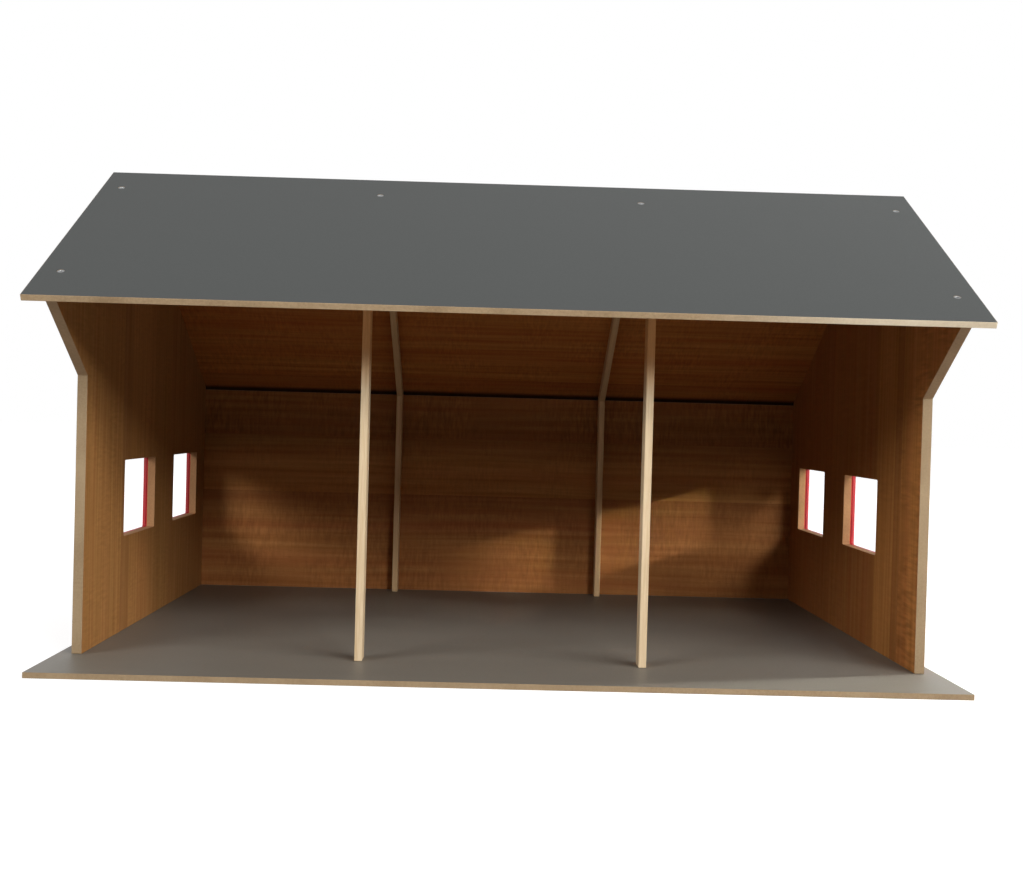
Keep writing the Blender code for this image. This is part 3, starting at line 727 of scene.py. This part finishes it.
leftVeneer = oiledVeneer("left wall")
rightVeneer = oiledVeneer("right wall")
backVeneer = oiledVeneer("back wall")
rearRoofVeneer = oiledVeneer("rear roof")
frontRoofVeneer = oiledVeneer("front roof")
roofLaminate = melamineLaminate("melamine laminate, roof", "roof")
floorLaminate = melamineLaminate("melamine laminate, floor", "floor")
bareEdge = bareFibreboard("bare fibreboard edge", "edge")
bareRoofEdge = bareFibreboard("bare fibreboard edge, roof", "roofEdge")
oiledOpening = bareFibreboard("oiled fibreboard opening", "opening")
rawSide = bareFibreboard("raw fibreboard underside", "rawSide")
frontPostStrip = planedWood("planed pine, front post", "strip", grainTurns["upright"])
rearPostStrip = planedWood("planed pine, rear post", "warmStrip", grainTurns["upright"])
frontRafterStrip = planedWood("planed pine, front rafter", "warmStrip", grainTurns["frontRafter"])
rearRafterStrip = planedWood("planed pine, rear rafter", "warmStrip", grainTurns["rearRafter"])
dowelWood = planedWood("turned beech dowel", "dowel", grainTurns["through"])
redPaint = redEnamel("red satin enamel")
plating = zincPlatedSteel("zinc-plated steel")
print("materials made")

seats = screwSeats()


def seatsOf(board):
    return [seat for node, held, seat, axis in seats if held == board]


# Base board: laminate up, raw side down, where the screws go in
low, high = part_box("base_board")
place = (Vector((0, 0, low.z)), X, Y, -Z)
corners = [(low.x, low.y), (high.x, low.y), (high.x, high.y), (low.x, high.y)]
rings = boardRings(corners, high.z - low.z, [], seatsOf("base_board"), place)
baseBoard = boardPiece("baseBoard", rings, place, [rawSide, floorLaminate, bareEdge])
dress(baseBoard, "floor_laminate", "base_board")

# Back wall: screwed on from behind
low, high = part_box("back_wall")
place = (Vector((0, high.y, 0)), X, Z, Y)
corners = [(low.x, low.z), (high.x, low.z), (high.x, high.z), (low.x, high.z)]
rings = boardRings(corners, high.y - low.y, [], seatsOf("back_wall"), place)
backWall = boardPiece("backWall", rings, place, [backVeneer, backVeneer, bareEdge])
dress(backWall, "veneered_board", "back_wall")
print("base board and back wall made")

# Roof panels: laminate outside, veneer inside, plumb cut at the ridge
for node, slopeUp, normal, under in (
        ("roof_panel_front", upslope, frontRoofNormal, frontRoofVeneer),
        ("roof_panel_rear", downslope, rearRoofNormal, rearRoofVeneer)):
    low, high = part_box(node)
    front = node.endswith("front")
    ridgeY = high.y if front else low.y
    place = (Vector((0, ridgeY, high.z)), X, slopeUp, normal)
    length = (high.y - low.y) / math.cos(pitch)
    corners = [(low.x, 0), (low.x, -length), (high.x, -length), (high.x, 0)]
    if not front:
        corners = [(low.x, 0), (high.x, 0), (high.x, length), (low.x, length)]
    thickness = garage["roofThickness"]
    lean = (0, math.tan(pitch) if front else -math.tan(pitch))
    rings = boardRings(corners, thickness, [], seatsOf(node), place, lean)
    panel = boardPiece("roofPanelFront" if front else "roofPanelRear", rings, place,
                       [roofLaminate, under, bareRoofEdge])
    dress(panel, "roof_laminate", node)
print("roof panels made")

# Side walls with their windows, and the painted frames round them
windowFrame = {
    "border": 9 * mm,            # from the frame's outline to its opening
    "cornerRadius": 1.5 * mm,
    "openingRadius": 2.2 * mm,
    "ease": 0.7 * mm,            # edges rounded over before painting
    "easeSteps": 3,
    "cornerSteps": 4,
}


def boxCorners(lowY, lowZ, highY, highZ, clockwise):
    corners = [(lowY, lowZ), (highY, lowZ), (highY, highZ), (lowY, highZ)]
    return corners[::-1] if clockwise else corners


border = windowFrame["border"]
near = 0.05 * mm                 # points this close together count as level
for side, sign, veneered in (("left", -1, leftVeneer), ("right", 1, rightVeneer)):
    node = "side_wall_" + side
    low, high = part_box(node)
    points = nodePoints(node)
    foot = points[points[:, 2] < low.z + near]
    frontY, rearY = foot[:, 1].min(), foot[:, 1].max()
    kinkZ = points[np.abs(points[:, 1] - frontY) < near][:, 2].max()
    flareZ = points[points[:, 1] < low.y + near][:, 2].max()
    rearZ = points[np.abs(points[:, 1] - rearY) < near][:, 2].max()
    ridgeY = points[points[:, 2] > high.z - near][0, 1]
    corners = [(frontY, low.z), (rearY, low.z), (rearY, rearZ), (ridgeY, high.z),
               (low.y, flareZ), (frontY, kinkZ)]
    place = (Vector((high.x if sign > 0 else low.x, 0, 0)), Y, Z, X * sign)
    windows = []
    for end in ("front", "rear"):
        ringNode = "window_frame_" + side + "_" + end
        frameLow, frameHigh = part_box(ringNode)
        opening = boxCorners(frameLow.y + border, frameLow.z + border,
                             frameHigh.y - border, frameHigh.z - border, True)
        loop = roundedLoop(opening, windowFrame["openingRadius"], windowFrame["cornerSteps"])
        windows.append(loop)
        outer = roundedLoop(boxCorners(frameLow.y, frameLow.z, frameHigh.y, frameHigh.z, False),
                            windowFrame["cornerRadius"], windowFrame["cornerSteps"])
        edge = easedProfile(frameHigh.x - frameLow.x, windowFrame["ease"],
                            windowFrame["easeSteps"])
        rings = [carriedRing(outer, edge), carriedRing(loop, edge)]
        framePlace = (Vector((frameHigh.x if sign > 0 else frameLow.x, 0, 0)), Y, Z, X * sign)
        ringPiece = boardPiece("windowFrame" + side.capitalize() + end.capitalize(), rings,
                               framePlace, [redPaint] * 3)
        dress(ringPiece, "red_paint", ringNode)
    rings = boardRings(corners, high.x - low.x, windows, [], place)
    wall = boardPiece("sideWall" + side.capitalize(), rings, place,
                      [veneered, veneered, bareEdge, oiledOpening])
    dress(wall, "veneered_board", node)
print("side walls and window frames made")

# Screws, each turned by a different amount
turns = np.random.default_rng(7).uniform(0, quarter, len(seats))
for (node, board, seat, axis), turn in zip(seats, turns):
    words = node.split("_")
    name = words[0] + "".join(word.capitalize() for word in words[1:])
    dress(screwPiece(name, seat, axis, turn, plating), "zinc_steel", node)
print("screws made:", len(seats))

# Posts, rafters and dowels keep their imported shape
woods = {
    "front_post": frontPostStrip,
    "rear_post": rearPostStrip,
    "front_rafter": frontRafterStrip,
    "rear_rafter": rearRafterStrip,
    "frame_dowel": dowelWood,
}
for node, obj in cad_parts.items():
    for prefix, wood in woods.items():
        if node.startswith(prefix):
            obj.material_slots[0].material = wood
print("woods given to posts, rafters and dowels")

# Studio: a pale floor and a white surround
studio = {
    "floorSize": 40.0,
    "floorLevel": -0.1 * mm,     # just below the base board
    "floorColour": "#A6A6A6",
    "floorGlow": (0.87, 1.0),    # seen by camera and mirror rays on top of the lit floor
    "glowFrom": (0.5, 1.6),      # metres from the garage's middle to these two glows
    "fill": 0.015,               # even light from all round
}


def seenDirectly(tree):
    # 1 for camera, glossy and transmission rays that no matt surface has scattered, else 0, so
    # that the white surround shows in a mirror but a mirror doesn't light the garage with it
    path = addNode(tree, "ShaderNodeLightPath")
    first = addNode(tree, "ShaderNodeMath", {
        0: path.outputs["Is Camera Ray"], 1: path.outputs["Is Glossy Ray"]}, operation="MAXIMUM")
    direct = addNode(tree, "ShaderNodeMath", {
        0: first.outputs[0], 1: path.outputs["Is Transmission Ray"]}, operation="MAXIMUM")
    unscattered = addNode(tree, "ShaderNodeMath", {
        0: path.outputs["Diffuse Depth"], 1: 0.5}, operation="LESS_THAN")
    return addNode(tree, "ShaderNodeMath", {
        0: direct.outputs[0], 1: unscattered.outputs[0]}, operation="MULTIPLY").outputs[0]


def studioFloor():
    material, tree, shader = newMaterial("pale studio floor")
    tree.nodes.remove(shader)
    matt = addNode(tree, "ShaderNodeBsdfDiffuse", {"Color": linearColour(studio["floorColour"])})
    place = addNode(tree, "ShaderNodeTexCoord").outputs["Object"]
    away = addNode(tree, "ShaderNodeVectorMath", {0: place}, operation="LENGTH")
    glowHere = addNode(tree, "ShaderNodeMapRange", {
        "Value": away.outputs["Value"], "From Min": studio["glowFrom"][0],
        "From Max": studio["glowFrom"][1], "To Min": studio["floorGlow"][0],
        "To Max": studio["floorGlow"][1]})
    glow = addNode(tree, "ShaderNodeMath", {
        0: seenDirectly(tree), 1: glowHere.outputs["Result"]}, operation="MULTIPLY")
    shine = addNode(tree, "ShaderNodeEmission", {"Strength": glow.outputs[0]})
    both = addNode(tree, "ShaderNodeAddShader", {0: matt.outputs[0], 1: shine.outputs[0]})
    tree.links.new(both.outputs[0], tree.nodes["Material Output"].inputs["Surface"])
    half, level = studio["floorSize"] / 2, studio["floorLevel"]
    mesh = bpy.data.meshes.new("studioFloor")
    mesh.from_pydata([(-half, -half, level), (half, -half, level), (half, half, level),
                      (-half, half, level)], [], [(0, 1, 2, 3)])
    mesh.materials.append(material)
    floor = bpy.data.objects.new("studioFloor", mesh)
    bpy.context.scene.collection.objects.link(floor)


def studioWorld():
    world = bpy.data.worlds.new("white surround")
    world.use_nodes = True
    tree = world.node_tree
    strength = addNode(tree, "ShaderNodeMapRange", {
        "Value": seenDirectly(tree), "To Min": studio["fill"], "To Max": 1.0})
    background = tree.nodes["Background"]
    background.inputs["Color"].default_value = (1, 1, 1, 1)
    tree.links.new(strength.outputs[0], background.inputs["Strength"])
    bpy.context.scene.world = world


# lamps by angle from straight ahead of the garage (positive to the right), angle above the floor
# and distance from what they are aimed at, which is the middle of the garage or their own target;
# spread is the width of an aimed lamp's beam in degrees, and the others light all round
lamps = {
    "softboxRight": {"round": 38, "up": 29, "away": 4.5, "size": (1.4, 1.0), "power": 70},
    "softboxWide": {"round": 58, "up": 21, "away": 4.5, "size": (1.8, 1.4), "power": 74},
    "softboxFront": {"round": 21, "up": 19.8, "away": 4.5, "size": (0.9, 0.6), "power": 53},
    "softboxLeft": {"round": -45, "up": 24, "away": 5.0, "size": (2.2, 1.5), "power": 108},
    "softboxBack": {"round": 178, "up": 20, "away": 4.0, "size": (1.6, 1.0), "power": 60},
    # light on the rear window of the right wall, and on the floor in front of that wall
    "windowLamp": {"round": 67, "up": 14.1, "away": 4.0, "size": (0.3, 0.1), "power": 0.7,
                   "target": (0.38, 0.196, 0.14), "spread": 14},
    "cornerLamp": {"round": 108, "up": 25, "away": 3.0, "size": (0.12, 0.12), "power": 0.35,
                   "target": (0.34, -0.30, 0.0), "spread": 9},
}
lampTarget = Vector((0, -0.05, 0.15))


def addLamps():
    for name, lamp in lamps.items():
        around, up = math.radians(lamp["round"]), math.radians(lamp["up"])
        direction = Vector((math.sin(around) * math.cos(up), -math.cos(around) * math.cos(up),
                            math.sin(up)))
        light = bpy.data.lights.new(name, "AREA")
        light.shape = "RECTANGLE"
        light.size, light.size_y = lamp["size"]
        light.energy = lamp["power"]
        light.spread = math.radians(lamp.get("spread", 180))
        obj = bpy.data.objects.new(name, light)
        obj.location = Vector(lamp.get("target", lampTarget)) + direction * lamp["away"]
        obj.rotation_euler = direction.to_track_quat("Z", "Y").to_euler()
        obj.visible_camera = False
        bpy.context.scene.collection.objects.link(obj)


# Camera: where the photograph was taken from, found by fitting the garage's edges
photo = {
    "place": (-0.02034, -1.49269, 0.22522),
    "yaw": 1.13265,              # degrees, to the right
    "pitch": -0.88494,           # degrees, upwards
    "roll": 1.56098,
    "lens": 49.3129,             # millimetres, and so is the sensor's width
    "sensor": 36.0,
}


def addCamera():
    yaw, tilt, roll = (math.radians(photo[key]) for key in ("yaw", "pitch", "roll"))
    ahead = Vector((math.sin(yaw) * math.cos(tilt), math.cos(yaw) * math.cos(tilt),
                    math.sin(tilt)))
    side = Vector((math.cos(yaw), -math.sin(yaw), 0))
    over = side.cross(ahead)
    rolledSide = side * math.cos(roll) + over * math.sin(roll)
    rolledOver = over * math.cos(roll) - side * math.sin(roll)
    data = bpy.data.cameras.new("photoCamera")
    data.lens = photo["lens"]
    data.sensor_width = photo["sensor"]
    data.sensor_fit = "HORIZONTAL"
    camera = bpy.data.objects.new("photoCamera", data)
    turn = Matrix((rolledSide, rolledOver, -ahead)).transposed()
    camera.matrix_world = Matrix.Translation(photo["place"]) @ turn.to_4x4()
    bpy.context.scene.collection.objects.link(camera)
    bpy.context.scene.camera = camera


studioFloor()
studioWorld()
addLamps()
addCamera()
bpy.context.scene.view_settings.view_transform = "Standard"
print("studio ready")
